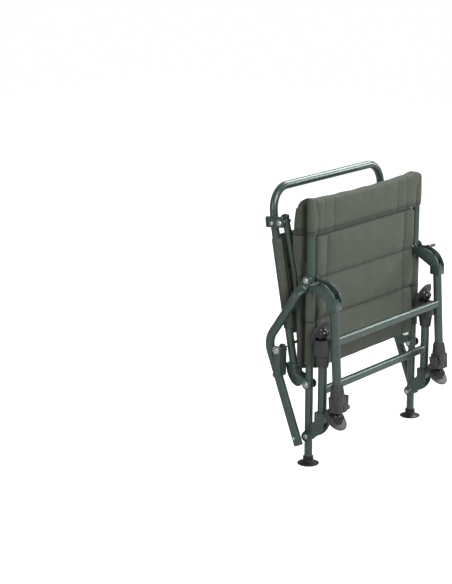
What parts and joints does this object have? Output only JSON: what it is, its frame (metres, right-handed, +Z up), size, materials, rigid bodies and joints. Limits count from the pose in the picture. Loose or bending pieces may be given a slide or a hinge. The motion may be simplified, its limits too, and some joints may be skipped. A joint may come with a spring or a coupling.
{
  "type": "folding reclining fishing chair",
  "caption": "Flat-folding reclining chair with padded seat and back, side arms with sliding stays, and hinged leg frames with cam-clamped telescopic legs and swivelling disc feet.",
  "frame": {"origin": "on the ground under the middle of the folded chair, midway between its two sides and halfway through its depth, chair standing on the two discs of its seat tubes", "axes": "+X across the chair towards its right side as drawn, -Y from the seat's underside, +Y to the sitting side, +Z up along the seat tubes towards the front edge"},
  "size_m": [0.6246, 0.2576, 0.763],
  "materials": {
    "paint": "dark green hammered paint with a soft sheen",
    "cloth": "matt olive woven cloth over foam",
    "plastic": "dark grey moulded plastic",
    "rubber": "grey-brown moulded rubber",
    "zinc": "bright zinc-plated steel"
  },
  "bodies": {
    "seat": {"seat_frame": "paint", "seat_cushion": "cloth", "seat_pocket": "cloth", "rear_foot_disc_left": "rubber", "rear_foot_disc_right": "rubber", "front_pivot_bolt_left": "zinc", "front_pivot_bolt_right": "zinc", "back_pivot_bolt_left": "zinc", "back_pivot_bolt_right": "zinc", "rear_pivot_bolt_left": "zinc", "rear_pivot_bolt_right": "zinc"},
    "backrest": {"backrest_frame": "paint", "backrest_cushion": "cloth", "backrest_bracket_left": "paint", "backrest_bracket_right": "paint", "stay_plate_left": "paint", "stay_plate_right": "paint", "stay_pivot_bolt_left": "zinc", "stay_pivot_bolt_right": "zinc"},
    "front_legs": {"front_leg_frame": "paint", "front_bracket_left": "paint", "front_bracket_right": "paint", "front_clamp_left": "plastic", "front_clamp_right": "plastic"},
    "rear_legs": {"rear_leg_frame": "paint", "rear_bracket_left": "paint", "rear_bracket_right": "paint", "rear_clamp_left": "plastic", "rear_clamp_right": "plastic"},
    "stay_left": {"stay_tube_left": "paint", "stay_cap_left": "plastic"},
    "armrest_left": {"armrest_tube_left": "paint", "armrest_plug_left": "plastic", "recline_rail_left": "paint", "rail_bolt_left": "zinc", "recline_bolt_left": "zinc"},
    "knob_left": {"recline_knob_left": "plastic"},
    "lock_pin_left": {"lock_pin_left": "plastic"},
    "front_inner_leg_left": {"front_inner_leg_left": "paint"},
    "front_foot_left": {"front_mud_foot_left": "rubber"},
    "front_lever_left": {"front_clamp_lever_left": "plastic"},
    "rear_inner_leg_left": {"rear_inner_leg_left": "paint"},
    "rear_foot_left": {"rear_mud_foot_left": "rubber"},
    "rear_lever_left": {"rear_clamp_lever_left": "plastic"},
    "stay_right": {"stay_tube_right": "paint", "stay_cap_right": "plastic"},
    "armrest_right": {"armrest_tube_right": "paint", "armrest_plug_right": "plastic", "recline_rail_right": "paint", "rail_bolt_right": "zinc", "recline_bolt_right": "zinc"},
    "knob_right": {"recline_knob_right": "plastic"},
    "lock_pin_right": {"lock_pin_right": "plastic"},
    "front_inner_leg_right": {"front_inner_leg_right": "paint"},
    "front_foot_right": {"front_mud_foot_right": "rubber"},
    "front_lever_right": {"front_clamp_lever_right": "plastic"},
    "rear_inner_leg_right": {"rear_inner_leg_right": "paint"},
    "rear_foot_right": {"rear_mud_foot_right": "rubber"},
    "rear_lever_right": {"rear_clamp_lever_right": "plastic"}
  },
  "joints": [
    {"name": "backrest_fold", "type": "hinge", "parent": "seat", "child": "backrest", "pos_m": [0, -0.01357, 0.229], "axis": [-1, 0, 0], "range_deg": [0, 92]},
    {"name": "front_legs_fold", "type": "hinge", "parent": "seat", "child": "front_legs", "pos_m": [0, -0.01357, 0.521], "axis": [-1, 0, 0], "range_deg": [0, 108]},
    {"name": "rear_legs_fold", "type": "hinge", "parent": "seat", "child": "rear_legs", "pos_m": [0, -0.01357, 0.08], "axis": [1, 0, 0], "range_deg": [0, 67.1]},
    {"name": "stay_left_hinge", "type": "hinge", "parent": "backrest", "child": "stay_left", "pos_m": [-0.2435, 0.08143, 0.664], "axis": [-1, 0, 0], "range_deg": [0, 22]},
    {"name": "armrest_left_hinge", "type": "hinge", "parent": "seat", "child": "armrest_left", "pos_m": [-0.276, -0.01357, 0.521], "axis": [1, 0, 0], "range_deg": [0, 19.3]},
    {"name": "recline_knob_left_turn", "type": "hinge", "parent": "armrest_left", "child": "knob_left", "pos_m": [-0.2735, 0.06243, 0.32], "axis": [1, 0, 0], "continuous": true},
    {"name": "lock_pin_left_pull", "type": "slide", "parent": "front_legs", "child": "lock_pin_left", "axis": [-1, 0, 0], "range_m": [0, 0.006], "stiffness_N_per_m": 300},
    {"name": "front_leg_slide_left", "type": "slide", "parent": "front_legs", "child": "front_inner_leg_left", "axis": [0, -0.0628, -0.998], "range_m": [0, 0.12]},
    {"name": "front_foot_swivel_left", "type": "hinge", "parent": "front_inner_leg_left", "child": "front_foot_left", "pos_m": [-0.258, -0.11078, 0.15373], "axis": [1, 0, 0], "range_deg": [-40, 10]},
    {"name": "front_lever_left_hinge", "type": "hinge", "parent": "front_legs", "child": "front_lever_left", "pos_m": [-0.2312, -0.10927, 0.17768], "axis": [0, 0.998, -0.0628], "range_deg": [0, 110]},
    {"name": "rear_leg_slide_left", "type": "slide", "parent": "rear_legs", "child": "rear_inner_leg_left", "axis": [0, 0, 1], "range_m": [0, 0.04]},
    {"name": "rear_foot_swivel_left", "type": "hinge", "parent": "rear_inner_leg_left", "child": "rear_foot_left", "pos_m": [-0.258, -0.05757, 0.375], "axis": [1, 0, 0], "range_deg": [-3, 3]},
    {"name": "rear_lever_left_hinge", "type": "hinge", "parent": "rear_legs", "child": "rear_lever_left", "pos_m": [-0.2312, -0.05757, 0.351], "axis": [0, -1, 0], "range_deg": [0, 110]},
    {"name": "stay_right_hinge", "type": "hinge", "parent": "backrest", "child": "stay_right", "pos_m": [0.2435, 0.08143, 0.664], "axis": [-1, 0, 0], "range_deg": [0, 22]},
    {"name": "armrest_right_hinge", "type": "hinge", "parent": "seat", "child": "armrest_right", "pos_m": [0.276, -0.01357, 0.521], "axis": [1, 0, 0], "range_deg": [0, 19.3]},
    {"name": "recline_knob_right_turn", "type": "hinge", "parent": "armrest_right", "child": "knob_right", "pos_m": [0.2735, 0.06243, 0.32], "axis": [1, 0, 0], "continuous": true},
    {"name": "lock_pin_right_pull", "type": "slide", "parent": "front_legs", "child": "lock_pin_right", "axis": [1, 0, 0], "range_m": [0, 0.006], "stiffness_N_per_m": 300},
    {"name": "front_leg_slide_right", "type": "slide", "parent": "front_legs", "child": "front_inner_leg_right", "axis": [0, -0.0628, -0.998], "range_m": [0, 0.12]},
    {"name": "front_foot_swivel_right", "type": "hinge", "parent": "front_inner_leg_right", "child": "front_foot_right", "pos_m": [0.258, -0.11078, 0.15373], "axis": [1, 0, 0], "range_deg": [-40, 10]},
    {"name": "front_lever_right_hinge", "type": "hinge", "parent": "front_legs", "child": "front_lever_right", "pos_m": [0.2312, -0.10927, 0.17768], "axis": [0, -0.998, 0.0628], "range_deg": [0, 110]},
    {"name": "rear_leg_slide_right", "type": "slide", "parent": "rear_legs", "child": "rear_inner_leg_right", "axis": [0, 0, 1], "range_m": [0, 0.04]},
    {"name": "rear_foot_swivel_right", "type": "hinge", "parent": "rear_inner_leg_right", "child": "rear_foot_right", "pos_m": [0.258, -0.05757, 0.375], "axis": [1, 0, 0], "range_deg": [-3, 3]},
    {"name": "rear_lever_right_hinge", "type": "hinge", "parent": "rear_legs", "child": "rear_lever_right", "pos_m": [0.2312, -0.05757, 0.351], "axis": [0, 1, 0], "range_deg": [0, 110]}
  ],
  "couplings": [
    {"joint": "rear_legs_fold", "follows": "front_legs_fold", "ratio": 0.62},
    {"joint": "stay_left_hinge", "follows": "backrest_fold", "ratio": 0.239},
    {"joint": "armrest_left_hinge", "follows": "backrest_fold", "ratio": 0.2087},
    {"joint": "stay_right_hinge", "follows": "backrest_fold", "ratio": 0.239},
    {"joint": "armrest_right_hinge", "follows": "backrest_fold", "ratio": 0.2087}
  ]
}
